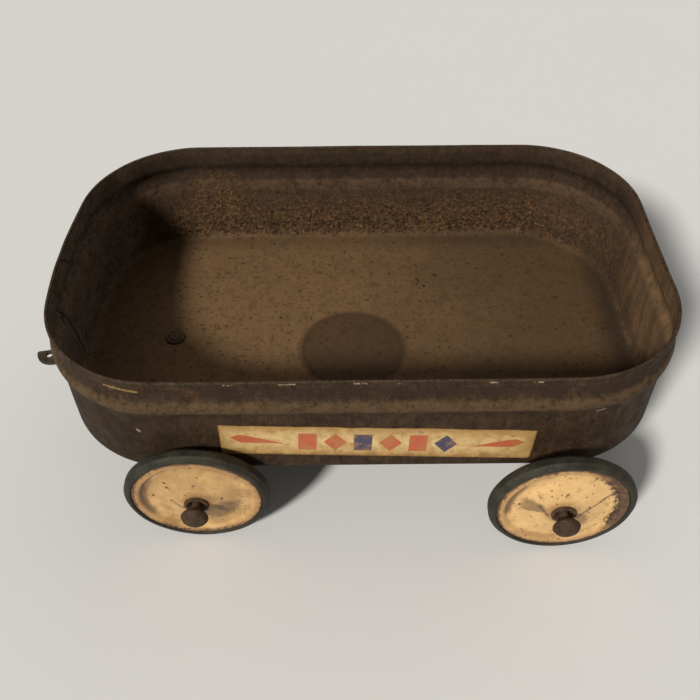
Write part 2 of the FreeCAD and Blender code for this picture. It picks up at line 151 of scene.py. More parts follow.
class Look(Tree):
    """A material on Object coordinates, measured from a centre of its own."""

    def __init__(self, name, centre=(0, 0, 0)):
        self.material = bpy.data.materials.new(name)
        self.material.use_nodes = True
        super().__init__(self.material.node_tree)
        self.tree.nodes.clear()
        place = self.add("ShaderNodeTexCoord", output="Object")
        shift = tuple(-c for c in centre)
        self.where = self.add("ShaderNodeMapping", None, {"Vector": place, "Location": shift})
        split = self.add("ShaderNodeSeparateXYZ", None, {"Vector": self.where})
        self.x, self.y, self.z = split, split.out("Y"), split.out("Z")

    def away(self, a, b):
        """The distance from the centre in a plane of these two coordinates."""
        return self.sum("SQRT", a * a + b * b)

    def cloud(self, size, detail=3.0, roughness=0.55, seed=0.0):
        return self.noise(self.where, size, detail, roughness, seed)

    def patches(self, size, low, high, detail=4.0, seed=0.0):
        """1 inside noisy patches, 0 outside; low and high set how much they cover."""
        return ramp(self.cloud(size, detail, 0.6, seed), low, high)

    def streaks(self, size, squeeze):
        """Cloudy noise drawn out along Z."""
        drawn = {"Vector": self.where, "Scale": (1, 1, squeeze)}
        return self.noise(self.add("ShaderNodeMapping", None, drawn), size, 4.0, 0.65, 2.0)

    def specks(self, spacing, radius, share, ragged=0.5):
        """Ragged round spots: one in each cell of this spacing, in this share of the cells."""
        drift = self.add("ShaderNodeVectorMath", {"operation": "SCALE"}, {
            0: self.cloud(spacing * 0.7, 2.0).out("Color"), "Scale": ragged * spacing})
        moved = self.add("ShaderNodeVectorMath", {"operation": "ADD"}, {0: self.where, 1: drift})
        cell = self.add("ShaderNodeTexVoronoi", None, {"Vector": moved, "Scale": 1 / spacing})
        pick = self.add("ShaderNodeSeparateColor", None, {"Color": cell.out("Color")})
        spot = ramp(cell, radius / spacing, radius / spacing * 0.55)
        return spot * ramp(pick, share, share * 0.9) * ramp(pick.out("Green"), 0.0, 0.5)

    def mix(self, share, first, second):
        """The first colour where share is 0 and the second where it is 1."""
        ends = {6: self.paint(first), 7: self.paint(second)}
        return self.add("ShaderNodeMix", {"data_type": "RGBA"}, {0: share, **ends}, output=2)

    def coats(self, base, *layers):
        """A base colour under layers, each the share that it covers and its colour."""
        for share, colour in layers:
            base = self.mix(share, base, colour)
        return base

    @staticmethod
    def paint(colour):
        return colour if isinstance(colour, Link) else (*colour, 1.0)

    def segment(self, across, up, ends, width):
        """1 on a ragged line between two points of a plane, 0 beyond this half width."""
        (a, b), (c, d) = ends
        run = math.hypot(c - a, d - b)
        along = ((across - a) * (c - a) + (up - b) * (d - b)) / run
        aside = ((across - a) * (b - d) + (up - b) * (c - a)) / run
        past = most(along - run, along * -1)
        far = most(abs(aside), past)
        return ramp(far + (self.cloud(5 * MM) - 0.5) * width * 2, width, width * 0.4)

    def marks(self, across, up, lines, width):
        """1 on any of several such lines, given in mm like their half width; 0 if there are none."""
        masks = [self.segment(across, up, [(a * MM, b * MM) for a, b in ends], width * MM)
                 for ends in lines]
        return most(*masks) if masks else across * 0

    def finish(self, colour, roughness, height=None, lift=1 * MM, shine=0.5):
        """Close the material; height is the bump's relief, 1 standing this lift above 0."""
        inputs = {"Base Color": self.paint(colour), "Roughness": roughness}
        inputs["Specular IOR Level"] = shine
        if height is not None:
            bump = {"Height": height, "Distance": lift, "Strength": 1.0}
            inputs["Normal"] = self.add("ShaderNodeBump", None, bump)
        skin = self.add("ShaderNodeBsdfPrincipled", None, inputs)
        self.add("ShaderNodeOutputMaterial", None, {"Surface": skin})
        return self.material


# ---------------------------------------------------------------- mesh helpers

def rounded(corners, step):
    """Points along a closed outline of corners (x, y) or (x, y, radius), no further apart than step."""
    spots = [Vector(corner[:2]) for corner in corners]
    points = []
    for i, corner in enumerate(corners):
        back = (spots[i - 1] - spots[i]).normalized()
        ahead = (spots[(i + 1) % len(spots)] - spots[i]).normalized()
        radius = corner[2] if len(corner) > 2 else 0
        if not radius:
            points.append(spots[i])
            continue
        half = back.angle(ahead) / 2
        centre = spots[i] + (back + ahead).normalized() * radius / math.sin(half)
        arms = [spots[i] + arm * radius / math.tan(half) - centre for arm in (back, ahead)]
        start, stop = (math.atan2(arm.y, arm.x) for arm in arms)
        turn = (stop - start + math.pi) % math.tau - math.pi
        count = max(3, math.ceil(abs(turn) * radius / step), math.ceil(abs(turn) / 0.3))
        for k in range(count + 1):
            angle = start + turn * k / count
            points.append(centre + radius * Vector((math.cos(angle), math.sin(angle))))
    return divided(points, step)


def divided(points, step):
    """A closed line of points with its long runs cut up."""
    filled = []
    for here, there in zip(points, points[1:] + points[:1]):
        count = max(1, round((there - here).length / step))
        filled += [here.lerp(there, k / count) for k in range(count)]
    return filled


def new_mesh(name, points, faces):
    mesh = bpy.data.meshes.new(name)
    mesh.from_pydata([tuple(p) for p in points], [], faces)
    return mesh


def new_object(name, data):
    thing = bpy.data.objects.new(name, data)
    bpy.context.scene.collection.objects.link(thing)
    return thing


def evaluated_mesh(holder):
    """What an object looks like after its curve or modifiers, as a plain mesh."""
    ready = holder.evaluated_get(bpy.context.evaluated_depsgraph_get())
    return bpy.data.meshes.new_from_object(ready)


def tidy(mesh, sharp=math.radians(50)):
    """Close the seams, point the faces outwards and shade all but the sharp edges smooth."""
    work = bmesh.new()
    work.from_mesh(mesh)
    bmesh.ops.remove_doubles(work, verts=work.verts, dist=0.002 * MM)
    bmesh.ops.dissolve_degenerate(work, edges=work.edges, dist=0.001 * MM)
    bmesh.ops.recalc_face_normals(work, faces=work.faces)
    work.to_mesh(mesh)
    work.free()
    mesh.shade_smooth()
    mesh.set_sharp_from_angle(angle=sharp)
    return mesh


def show(name, mesh, body, slot, *nodes):
    """Add a finished mesh to the wagon: it rides on this body and stands for these nodes."""
    piece = new_object(name, mesh)
    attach(piece, body)
    if nodes:
        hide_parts(*nodes)
    return piece


def turning_tree():
    """Turn a section about Z. The section's points hold the radius along X and height along Z."""
    group = bpy.data.node_groups.new("turned_piece", "GeometryNodeTree")
    sockets = {"Section": "Geometry", "Facets": "Int", "Dent depth": "Float", "Dent size": "Float",
               "Seed": "Float", "Finish": "Material"}
    for name, kind in sockets.items():
        group.interface.new_socket(name, in_out="INPUT", socket_type="NodeSocket" + kind)
    group.interface.new_socket("Piece", in_out="OUTPUT", socket_type="NodeSocketGeometry")
    tree = Tree(group)
    given = tree.add("NodeGroupInput", output="Section")
    facets = given.out("Facets")

    size = tree.add("GeometryNodeAttributeDomainSize", None, {"Geometry": given}, "Point Count")
    rows = size + 1
    grid = tree.add("GeometryNodeMeshGrid", None, {"Vertices X": facets + 1, "Vertices Y": rows})
    index = tree.add("GeometryNodeInputIndex")
    column = tree.sum("FLOOR", (index + 0.5) / rows)
    row = (index - column * rows) % size
    angle = column / facets * math.tau
    spot = tree.add(
        "GeometryNodeSampleIndex",
        {"data_type": "FLOAT_VECTOR", "domain": "POINT"},
        {"Geometry": given, "Value": tree.add("GeometryNodeInputPosition"), "Index": row},
    )
    flat = tree.add("ShaderNodeSeparateXYZ", None, {"Vector": spot})
    radius, height = flat, flat.out("Z")
    across, up = tree.sum("COSINE", angle), tree.sum("SINE", angle)
    round_spot = {"X": radius * across, "Y": radius * up, "Z": height}
    ring = tree.add("ShaderNodeCombineXYZ", None, round_spot)
    dents = {"Vector": ring, "W": given.out("Seed"), "Scale": 1 / given.out("Dent size")}
    dent = tree.add("ShaderNodeTexNoise", {"noise_dimensions": "4D"}, {**dents, "Detail": 1.0})
    sink = (dent - 0.5) * 2 * given.out("Dent depth")
    swell = sink * radius / (radius + 10 * MM)
    moved = {"X": (radius + swell) * across, "Y": (radius + swell) * up, "Z": height + sink}
    place = {"Geometry": grid, "Position": tree.add("ShaderNodeCombineXYZ", None, moved)}
    skin = tree.add("GeometryNodeSetPosition", None, place)
    closed = tree.add("GeometryNodeMergeByDistance", None, {"Geometry": skin, "Distance": 1e-6})
    real = tree.add("GeometryNodeRealizeInstances", None, {"Geometry": closed})
    finish = {"Geometry": real, "Material": given.out("Finish")}
    done = tree.add("GeometryNodeSetMaterial", None, finish)
    tree.add("NodeGroupOutput", None, {"Piece": done})
    return group


TURNING = turning_tree()


def turned(name, corners, finish, place, step=1.2 * MM, facets=128, dent=0.0, seed=0.0,
           dent_size=30 * MM):
    """The mesh of a turned piece: a rounded section (radius, height), turned and put in place."""
    outline = rounded(corners, step)
    section = new_mesh(name, [(p.x, 0, p.y) for p in outline], [])
    holder = new_object(name + "_section", section)
    spin = holder.modifiers.new("turn", "NODES")
    spin.node_group = TURNING
    sizes = {"Facets": facets, "Dent depth": dent, "Dent size": dent_size, "Seed": seed}
    for item in TURNING.interface.items_tree:
        if item.name in sizes:
            spin[item.identifier] = sizes[item.name]
        elif item.name == "Finish":
            spin[item.identifier] = finish
    mesh = evaluated_mesh(holder)
    holder.modifiers.remove(spin)
    bpy.data.objects.remove(holder)
    mesh.name = name
    mesh.transform(place)
    return tidy(mesh)


def wave(point, size, depth, seed=0.0):
    """A gentle unevenness of sheet metal: up to depth either way."""
    return noise.noise(Vector(point) / size + Vector((seed, seed, seed))) * depth


# ---------------------------------------------------------------- finishes
# Colours are linear.

DUST = (0.086, 0.053, 0.025)
RUST = (0.115, 0.058, 0.026)
PIT = (0.011, 0.0062, 0.0035)
WORN = (0.11, 0.082, 0.054)

# the pan's outside
UMBER = (0.045, 0.0248, 0.0112)
UMBER_DEEP = (0.0155, 0.0083, 0.004)
PLUM = (0.026, 0.0138, 0.0082)
PALE_CHIP = (0.36, 0.29, 0.18)
YELLOW_SCRATCH = (0.26, 0.175, 0.06)

# the pan's floor
TAN = (0.163, 0.095, 0.044)
TAN_DEEP = (0.088, 0.051, 0.0235)
SOIL = (0.05, 0.028, 0.0135)
OLIVE = (0.082, 0.068, 0.042)
GRIME = (0.03, 0.019, 0.0115)
OILY = (0.037, 0.019, 0.009)
SPOT = (0.03, 0.0155, 0.0075)
# painted shadow on the floor's front end, partly grime
FRONT_SHADOW_AND_GRIME = (0.026, 0.0175, 0.011)

# the pan's inner walls
WALL = (0.07, 0.041, 0.0232)
WALL_DEEP = (0.02, 0.0118, 0.0068)
WALL_TAN = (0.2, 0.118, 0.055)
WALL_RUN = (0.085, 0.05, 0.028)
# grey-brown of the front wall, lightened as painted light
FRONT_WALL_GREY_AND_LIGHT = (0.155, 0.11, 0.08)
WALL_TOP = (0.034, 0.0225, 0.0155)
GROOVE = (0.016, 0.0098, 0.0062)
LEDGE_DUST_AND_HIGHLIGHT = (0.105, 0.064, 0.036)
DAMP = (0.046, 0.026, 0.013)
SILT = (0.045, 0.0265, 0.014)
OCHRE = (0.115, 0.062, 0.027)
ORANGE = (0.25, 0.115, 0.034)

# the discs
CREAM = (0.71, 0.462, 0.2)
CREAM_DEEP = (0.43, 0.255, 0.1)
CREAM_FADED = (0.36, 0.23, 0.105)
TEA = (0.4, 0.225, 0.09)
FILM = (0.3, 0.165, 0.055)
RIM_BROWN = (0.3, 0.16, 0.064)
STAIN = (0.2, 0.1, 0.036)
# a smudge beside the hub, and a painted shadow of the cap
SMUDGE_AND_SHADOW = (0.13, 0.076, 0.036)
VALLEY_DIRT_AND_SHADE = (0.12, 0.068, 0.034)
CREASE_DIRT_AND_SHADE = (0.07, 0.036, 0.018)
STEEL = (0.14, 0.08, 0.048)
STEEL_DEEP = (0.062, 0.034, 0.02)
HALO = (0.38, 0.18, 0.066)
CHIP = (0.036, 0.017, 0.0085)

# the rivet
RIVET_DEEP = (0.062, 0.037, 0.019)
RIVET_DUST = (0.12, 0.071, 0.035)

# the tyres
RUBBER = (0.027, 0.0238, 0.0142)
RUBBER_DEEP = (0.0105, 0.0099, 0.0064)
RUBBER_DUST = (0.07, 0.056, 0.034)
CRAZE = (0.007, 0.0065, 0.005)

# Marks on the left side as lines, from (x, z) to (x, z) in mm, z below the rim: pale chips along the
# hem, two nicks lower down, each with its half width, and one yellow scratch.
CHIP_DROP = 1.4
CHIPS = [((a, CHIP_DROP), (b, CHIP_DROP)) for a, b in
         ((-55, -51), (-28, -19), (10, 17), (32, 34), (79, 83), (102, 106))]
NICKS = [(((-106.5, 39.5), (-105.5, 40.5)), 1.1), (((139.5, 27.7), (143.6, 27.2)), 0.7)]
SCRATCH = ((-117.5, 6.7), (-100, 7.7))

# Cracks in the front wall as lines, from (y, z) to (y, z) in mm, z below the rim.
CRACK = [(-28.5, 10.4), (-30.6, 23), (-27.7, 30.5), (-22.5, 50), (-19, 72)]
SHORT_CRACK = [(-11, -0.5), (2, 12)]

# The round stain on the floor, and one spill in three lines, from (x, y) to (x, y) in mm.
STAIN_SPOT = (10.5 * MM, -13 * MM)
STAIN_RADIUS = 37 * MM
SPILL = (((56, 55), (57.5, 52)), ((60.5, 47.5), (61, 46.5)), ((69, 58.5), (70, 58)))


def outside_finish():
    """Dark brown rusted paint, purplish between hem and bead, dusty along the bead."""
    look = Look("pan_outside")
    surface = look.add("ShaderNodeNewGeometry", output="Normal")
    up = look.add("ShaderNodeSeparateXYZ", None, {"Vector": surface}).out("Z")
    below = RIM_Z - look.z
    bead_foot = BEAD_DROP + BEAD_HEIGHT
    mottle = look.cloud(10 * MM, 5.0, 0.65)
    blotch = look.cloud(3.4 * MM, 3.0, 0.65, seed=4.0)
    grain = look.cloud(1.4 * MM, 3.0, 0.75)
    tone = mottle * 0.35 + blotch * 0.35 + grain * 0.3

    # from the rim down
    rim = ramp(below, 0.8 * MM, 0.2 * MM) * ramp(blotch, 0.35, 0.65)
    hem = ramp(below, HEM_HEIGHT - 0.6 * MM, 1.5 * MM)
    seam = ramp(below, HEM_HEIGHT + 0.8 * MM, HEM_HEIGHT + 0.1 * MM)
    seam = seam * ramp(below, HEM_HEIGHT - 0.25 * MM, HEM_HEIGHT) * ramp(mottle, 0.3, 0.7)
    band = ramp(below + (mottle - 0.5) * 4 * MM, 4 * MM, 6.5 * MM)
    band = band * ramp(below, BEAD_DROP + 2 * MM, BEAD_DROP - 3 * MM)
    bead = ramp(below + (blotch - 0.5) * 3 * MM, BEAD_DROP + 0.5 * MM, BEAD_DROP + 4 * MM)
    bead = bead * ramp(below, bead_foot - 1.5 * MM, bead_foot - 6 * MM)
    bead = bead * ramp(tone, 0.34, 0.56)
    forward = ramp(look.x + (mottle - 0.5) * 60 * MM, -50 * MM, -130 * MM)
    forward = forward * ramp(below, bead_foot - 2 * MM, bead_foot + 2 * MM)

    # all over
    smear = ramp(look.streaks(3.0 * MM, 0.22), 0.48, 0.72)
    settled = ramp(up + (blotch - 0.5) * 0.5, 0.25, 0.85) * ramp(grain, 0.3, 0.6)
    settled = settled * (0.2 + ramp(below, 2 * MM, 5 * MM) * 0.4)
    rusty = look.patches(26 * MM, 0.52, 0.68) * ramp(blotch, 0.42, 0.62)
    flecks = look.specks(2.6 * MM, 0.7 * MM, 0.35)
    pits = look.specks(3.4 * MM, 0.9 * MM, 0.5)

    # marks on the left side
    left = ramp(look.y, -HALF_WIDTH + 12 * MM, -HALF_WIDTH + 4 * MM)
    chips = look.marks(look.x, below, CHIPS, 0.75) * ramp(grain, 0.42, 0.56)
    nicks = most(*[look.marks(look.x, below, [ends], width) for ends, width in NICKS])
    scratch = look.marks(look.x, below, [SCRATCH], 1.1) * ramp(grain, 0.35, 0.5)

    colour = look.coats(
        look.mix(ramp(tone, 0.38, 0.62), UMBER_DEEP, UMBER),
        (smear * 0.35, DUST),
        (band * 0.75, PLUM),
        (most(bead * 0.85, settled), DUST),
        (rusty * 0.4, RUST),
        (flecks * 0.5, DUST),
        (pits * 0.55, PIT),
        (hem * 0.45, UMBER_DEEP),
        (hem * ramp(grain, 0.42, 0.6) * 0.2, DUST),
        (rim * 0.3, WORN),
        (forward * 0.6, UMBER_DEEP),
        (seam * 0.6, PIT),
        (most(chips * 0.75, nicks * 0.6) * left, PALE_CHIP),
        (scratch * left * 0.8, YELLOW_SCRATCH),
    )
    roughness = 0.88 - ramp(mottle, 0.35, 0.65) * 0.2
    relief = mottle * 0.4 + blotch * 0.5 + grain * 0.35 - pits * 0.35
    return look.finish(colour, roughness, relief, lift=0.5 * MM, shine=0.2)


class Inside(Look):
    """The pan's inside: a tan dusty floor, dark walls, and rust along their foot."""

    def __init__(self):
        super().__init__("pan_inside")
        self.height = self.z - FLOOR_TOP
        self.broad = self.cloud(80 * MM, 3.0)
        self.mottle = self.cloud(11 * MM, 5.0, 0.62)
        self.blotch = self.cloud(4.0 * MM, 3.0, 0.65, seed=4.0)
        self.grain = self.cloud(1.5 * MM, 3.0, 0.75)
        self.edge = (self.mottle - 0.5) * 14 * MM + (self.blotch - 0.5) * 7 * MM

    def floor(self):
        """The floor's colour with painted shade, its dark dots and its round stain."""
        x, y, edge = self.x, self.y, self.edge
        shade = ramp(x + (self.broad - 0.5) * 160 * MM + edge * 2, -20 * MM, 130 * MM)
        # painted shade: the floor's colour is darkened up the bend into the walls, where the tilted
        # bend catches more light
        fillet_painted_shade = ramp(self.height + edge * 0.4, 0.4 * MM, 3 * MM)
        olive = self.patches(19 * MM, 0.58, 0.72, seed=7.0)
        from_side = HALF_WIDTH - abs(y)
        from_wall = self.sum("MINIMUM", from_side, REAR_X - x)
        grime = ramp(from_wall + edge * 1.4, 24 * MM, 6 * MM)
        corner = ramp(x - y * 0.4 + edge * 2, 118 * MM, 150 * MM)
        away = self.away(x - STAIN_SPOT[0], y - STAIN_SPOT[1]) + edge * 0.22
        stain = ramp(away, STAIN_RADIUS, STAIN_RADIUS - 5.5 * MM)
        ring = ramp(away, STAIN_RADIUS - 8 * MM, STAIN_RADIUS - 4 * MM)
        small = self.specks(3.2 * MM, 0.8 * MM, 0.22) * 0.7
        dots = most(self.specks(5.2 * MM, 1.5 * MM, 0.42), small)
        blots = self.specks(14 * MM, 2.6 * MM, 0.25)
        soft = self.specks(4.0 * MM, 1.9 * MM, 0.5)
        spill = self.marks(x, y, SPILL, 1.5)
        # darker towards the front end: mostly a painted shadow of the front wall, partly grime
        front_shadow_and_grime = ramp(x + edge * 2, -92 * MM, -150 * MM)
        colour = self.coats(
            self.mix(shade, TAN, TAN_DEEP),
            (ramp(self.mottle, 0.45, 0.72) * 0.3, SOIL),
            (ramp(self.grain, 0.45, 0.68) * 0.38, SOIL),
            (ramp(self.blotch, 0.53, 0.66) * 0.42, SOIL),
            (fillet_painted_shade * 0.45, SOIL),
            (olive * 0.3, OLIVE),
            (most(grime * 0.4, grime * corner * 0.85), GRIME),
            (stain * (0.7 + ring * 0.12), OILY),
            (most(dots * 0.62, blots * 0.55, spill * 0.8, soft * 0.25), SPOT),
            (front_shadow_and_grime * 0.5, FRONT_SHADOW_AND_GRIME),
        )
        return colour, dots, stain

    def wall(self):
        """The walls' colour and the relief of their rust."""
        x, height, edge = self.x, self.height, self.edge
        bead_top = PAN_DEPTH - BEAD_DROP
        bead_low = bead_top - BEAD_HEIGHT
        tone = self.mottle * 0.3 + self.blotch * 0.35 + self.grain * 0.35

        # the rear end is lighter, most of all towards its left corner
        streak = self.streaks(3.6 * MM, 0.12)
        rear = ramp(x + edge, REAR_X - 70 * MM, REAR_X - 8 * MM)
        near = self.y + x * 0.35 + (self.broad - 0.5) * 60 * MM
        near = ramp(near, 135 * MM, 60 * MM)
        fine = ramp(streak * 0.55 + self.broad * 0.2 + self.blotch * 0.25, 0.36, 0.62)
        wide = ramp(self.streaks(9 * MM, 0.2), 0.42, 0.58)
        light = 0.3 + fine * 0.35 + wide * 0.35
        # the front wall lighter grey-brown: its own grey-brown, lifted by painted light where it stands
        # in shade
        front = ramp(x - PAN_X, -150 * MM, -165 * MM)

        # the bead's dark hollow, and the light line below it, partly dust and partly a painted
        # highlight
        groove = ramp(height, bead_low - 1 * MM, bead_low + 1.5 * MM) * (1 - rear * near)
        groove = groove * ramp(height, PAN_DEPTH - 4 * MM, PAN_DEPTH - 9 * MM)
        ledge = ramp(height + edge * 0.12, bead_low - 10 * MM, bead_low - 7 * MM)
        ledge = ledge * ramp(height, bead_low + 0.5 * MM, bead_low - 2 * MM)
        ledge = ledge * ramp(tone, 0.36, 0.56)

        # rust that climbs from the foot
        climb = ramp(x + edge * 2, -50 * MM, -80 * MM) * ramp(x, -118 * MM, -95 * MM)
        damp = ramp(x + edge, -150 * MM, -112 * MM) * (1 - rear * (0.2 + near * 0.5))
        rise = ramp(height + edge * 2.2 - climb * 18 * MM, 58 * MM, 14 * MM) * damp
        rusty = ramp(self.cloud(2.6 * MM, 4.0, 0.75, seed=9.0) + rise * 0.14, 0.54, 0.72)
        sparks = self.cloud(2.3 * MM, 2.0, 0.6, seed=13.0) + rise * 0.08
        sparks = ramp(sparks, 0.66, 0.76) * rise
        low = ramp(height + edge, 40 * MM, 6 * MM)
        holes = self.cloud(2.3 * MM, 3.0, 0.65, seed=17.0) + low * 0.05
        holes = ramp(holes, 0.58, 0.66) * rise
        pits = most(holes, self.specks(3.2 * MM, 0.9 * MM, 0.35) * 0.6)
        silt = rear * ramp(height + edge * 1.6, 18 * MM, 3 * MM)

        upper = ramp(height, PAN_DEPTH - 14 * MM, PAN_DEPTH - 9 * MM)
        rim = ramp(height, PAN_DEPTH - 1.2 * MM, PAN_DEPTH - 0.3 * MM)
        rim = rim * ramp(self.blotch, 0.35, 0.65)
        colour = self.coats(
            self.mix(ramp(tone, 0.38, 0.62), WALL_DEEP, WALL),
            (rear * light * (near * 0.78 + 0.12), WALL_TAN),
            (ramp(streak, 0.5, 0.7) * (1 - rear) * 0.35, WALL_RUN),
            (groove * (0.5 + ramp(tone, 0.6, 0.4) * 0.25), GROOVE),
            (ledge * 0.6, LEDGE_DUST_AND_HIGHLIGHT),
            (rise * 0.5, DAMP),
            (rusty * (0.2 + rise * 0.6) * damp, OCHRE),
            (sparks * 0.8, ORANGE),
            (pits * 0.8, PIT),
            (silt * 0.6, SILT),
            (upper * 0.3, WALL_TOP),
            (rim * 0.4, WORN),
            (front * ramp(tone, 0.34, 0.6) * 0.8, FRONT_WALL_GREY_AND_LIGHT),
        )
        return colour, rusty * rise * 0.6 - pits * 0.8

    def cracks(self):
        """1 along the cracks in the front wall."""
        below = RIM_Z - self.z
        front = ramp(self.x - PAN_X, -150 * MM, -165 * MM)
        long_crack = self.marks(self.y, below, list(zip(CRACK, CRACK[1:])), 0.8)
        return most(long_crack, self.marks(self.y, below, [SHORT_CRACK], 0.6)) * front

    def whole(self):
        """The finished material."""
        floor, dots, stain = self.floor()
        wall, rust_relief = self.wall()
        crack = self.cracks()
        ragged = ramp(self.height + self.edge * 1.2, 4 * MM, -1 * MM)
        ragged = ragged * ramp(self.height, 14 * MM, 9 * MM)
        on_floor = most(ragged, ramp(self.height, 1.2 * MM, 0.6 * MM))
        colour = self.coats(wall, (on_floor, floor), (crack * 0.92, PIT))
        relief = self.mottle * 0.35 + self.blotch * 0.3 + self.grain * 0.35 - crack * 2
        relief = relief - dots * on_floor * 0.35 + rust_relief * (1 - on_floor)
        roughness = 0.92 - stain * on_floor * 0.12
        return self.finish(colour, roughness, relief, lift=0.5 * MM, shine=0.2)


def disc_finish(name, centre, seed, wear):
    """Aged cream paint: rust specks, brown round the rim, bare steel where it has worn through."""
    look = Look(name, centre)
    radius = look.away(look.x, look.z)
    angle = look.sum("ARCTAN2", look.z, look.x)
    grain = look.cloud(1.1 * MM, 3.0, 0.75, seed=seed)
    mottle = look.cloud(11 * MM, 4.0, 0.65, seed=seed + 1)
    blotch = look.cloud(3.5 * MM, 4.0, 0.7, seed=seed + 2)
    broad = look.cloud(24 * MM, 3.0, 0.6, seed=seed + 3)
    jag = blotch - 0.5
    sway = broad - 0.5

    def between(start, stop, ragged=0.25):
        """1 between two angles in degrees, fading towards both ends."""
        middle, half = math.radians(start + stop) / 2, math.radians(stop - start) / 2
        turn = (angle - middle + math.pi) % math.tau - math.pi
        return ramp(abs(turn) + jag * ragged, half, half * 0.5)

    # dirt from the hub out, with painted shade: the cap's shadow beside the hub, the valley below the
    # step, the creases
    hub = ramp(radius + jag * 6 * MM, 13 * MM, 7.5 * MM) * ramp(broad, 0.3, 0.6)
    smudge_and_shadow = between(*wear["smudge_and_shadow"], 0.5) * ramp(radius + jag * 6 * MM, 27 * MM, 21 * MM)
    smudge_and_shadow = smudge_and_shadow * ramp(radius, 8 * MM, 14 * MM)
    valley = ramp(radius + jag * 2 * MM, 27 * MM, 30 * MM) * ramp(radius, 33.5 * MM, 31 * MM)
    # painted shade in the valley below the ring's step on the side away from the light, over dirt
    groove = valley * between(*wear["grime"], 0.4)
    rim = ramp(radius + jag * 6 * MM + sway * 9 * MM, 28 * MM, 36 * MM)
    crease = look.marks(look.x, look.z, wear["creases"], 1.3)
    # the creases painted dark: painted shade in the dents, with dirt
    crease_dirt_and_shade = crease * ramp(grain, 0.3, 0.55)

    # bare steel along the edge, with torn paint beside it
    start, stop, width = wear["bare"]
    arc = between(start, stop)
    depth = radius + arc * width + jag * 4.5 * MM
    edge = ramp(radius + jag * 4.5 * MM + sway * 5 * MM, 35.1 * MM, 36.2 * MM)
    bare = most(edge, ramp(depth, 36.2 * MM, 36.9 * MM) * arc)
    steel = look.mix(ramp(grain * 0.5 + blotch * 0.5, 0.4, 0.62), STEEL_DEEP, STEEL)
    torn = ramp(depth, 33.4 * MM, 35.8 * MM) * ramp(depth, 38.8 * MM, 36.8 * MM) * arc
    torn = torn * ramp(look.cloud(1.7 * MM, 3.0, 0.7, seed=seed + 5), 0.47, 0.53)
    small = look.specks(2.8 * MM, 0.75 * MM, 0.5) * 0.8
    dots = most(look.specks(7.5 * MM, 1.2 * MM, 0.35, 0.6), small)
    halo = look.specks(6.5 * MM, 2.6 * MM, 0.4, 0.6)

    colour = look.coats(
        look.mix(ramp(mottle, 0.36, 0.62) * wear["yellow"], CREAM, CREAM_DEEP),
        (ramp(broad, 0.4, 0.64) * wear["yellow"] * 0.6, CREAM_FADED),
        (wear["film"], FILM),
        (ramp(grain, 0.46, 0.62) * 0.4, CREAM_DEEP),
        (ramp(blotch, 0.58, 0.72) * 0.3, TEA),
        (rim * 0.7, RIM_BROWN),
        (valley * ramp(broad, 0.42, 0.62) * 0.45, STAIN),
        (hub * 0.6, STAIN),
        (groove * 0.85, VALLEY_DIRT_AND_SHADE),
        (smudge_and_shadow * 0.75, SMUDGE_AND_SHADOW),
        (crease_dirt_and_shade * 0.75, CREASE_DIRT_AND_SHADE),
        (bare, steel),
        (halo * 0.35, HALO),
        (most(dots * (1 - bare) * 0.88, torn * 0.9), CHIP),
    )
    roughness = 0.5 + bare * 0.36 + grain * 0.1
    relief = (1 - bare) * 0.9 - dots * 0.5 - torn * 0.6 - crease * 0.9 + blotch * 0.3
    return look.finish(colour, roughness, relief, lift=0.3 * MM, shine=0.4)


def tyre_finish():
    """Old greenish-black rubber, dusty and crazed."""
    look = Look("tyre_rubber")
    grain = look.cloud(1.4 * MM, 3.0, 0.75)
    mottle = look.cloud(12 * MM, 4.0, 0.65)
    dusty = ramp(mottle * 0.5 + grain * 0.5, 0.45, 0.65)
    cells = look.add("ShaderNodeTexVoronoi", {"feature": "DISTANCE_TO_EDGE"},
                     {"Vector": look.where, "Scale": 1 / (2.3 * MM)})
    craze = ramp(cells, 0.07, 0.0) * look.patches(9 * MM, 0.45, 0.6)
    colour = look.coats(
        look.mix(ramp(mottle, 0.32, 0.7), RUBBER_DEEP, RUBBER),
        (dusty * 0.35, RUBBER_DUST),
        (craze * 0.6, CRAZE),
    )
    relief = grain * 0.35 + mottle * 0.3 - craze * 0.6
    return look.finish(colour, 0.62 + dusty * 0.22, relief, lift=0.25 * MM, shine=0.35)


def iron_finish(name, dark, light, gloss=0.0, size=5 * MM):
    """Small steel parts: dark brown rust, rubbed lighter in places."""
    look = Look(name)
    mottle = look.cloud(size, 5.0, 0.65)
    grain = look.cloud(1.0 * MM, 3.0, 0.75)
    colour = look.coats(
        look.mix(ramp(mottle * 0.6 + grain * 0.4, 0.37, 0.63), dark, light),
        (look.specks(2.2 * MM, 0.6 * MM, 0.4) * 0.6, RUST),
        (look.specks(1.9 * MM, 0.6 * MM, 0.35) * 0.6, PIT),
    )
    roughness = 0.84 - gloss + grain * 0.12
    return look.finish(colour, roughness, mottle * 0.5 + grain * 0.5, lift=0.35 * MM, shine=0.3)


